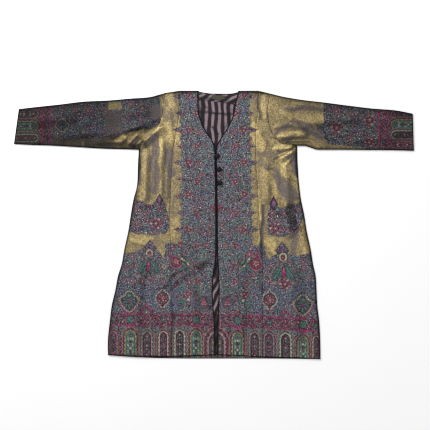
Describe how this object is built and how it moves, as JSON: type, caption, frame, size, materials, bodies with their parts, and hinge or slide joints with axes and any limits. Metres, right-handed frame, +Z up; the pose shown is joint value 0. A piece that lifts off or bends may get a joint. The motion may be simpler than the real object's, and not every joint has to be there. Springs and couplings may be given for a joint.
{
  "type": "pashmina jacket",
  "caption": "Long open-front jacket of patterned woven wool with a V neck, straight sleeves and shank buttons in cord loops, laid flat with its front up",
  "frame": {"origin": "middle of the laid-out jacket's box, on the surface that it lies on", "axes": "+X to the right sleeve as one looks down on the jacket, +Y from hem to neck, +Z up from the surface"},
  "size_m": [1.3976, 0.938, 0.0149],
  "materials": {
    "shawl_cloth": "woven pashmina with a gold and grey two-tone sheen and a dense floral and paisley pattern",
    "lining_stripe": "smooth dark plum lining with pale upright stripes",
    "black_binding": "matt black bias binding and cord",
    "label_weave": "plain dark woven tab",
    "dark_button": "dark glossy domed button"
  },
  "bodies": {
    "root": {"back": "shawl_cloth", "back_lining": "lining_stripe", "back_neck_facing": "lining_stripe", "label": "label_weave", "front_left_side": "shawl_cloth", "front_left_centre": "shawl_cloth", "front_right_centre": "shawl_cloth", "front_right_side": "shawl_cloth", "sleeve_left": "shawl_cloth", "sleeve_right": "shawl_cloth", "neck_binding": "black_binding", "edge_binding_left": "black_binding", "edge_binding_right": "black_binding", "hem_binding_left": "black_binding", "hem_binding_right": "black_binding", "hem_binding_back": "black_binding", "cuff_binding_left": "black_binding", "cuff_binding_right": "black_binding", "button_1": "dark_button", "button_2": "dark_button", "button_3": "dark_button", "button_loop_1": "black_binding", "button_loop_2": "black_binding", "button_loop_3": "black_binding"}
  },
  "joints": []
}
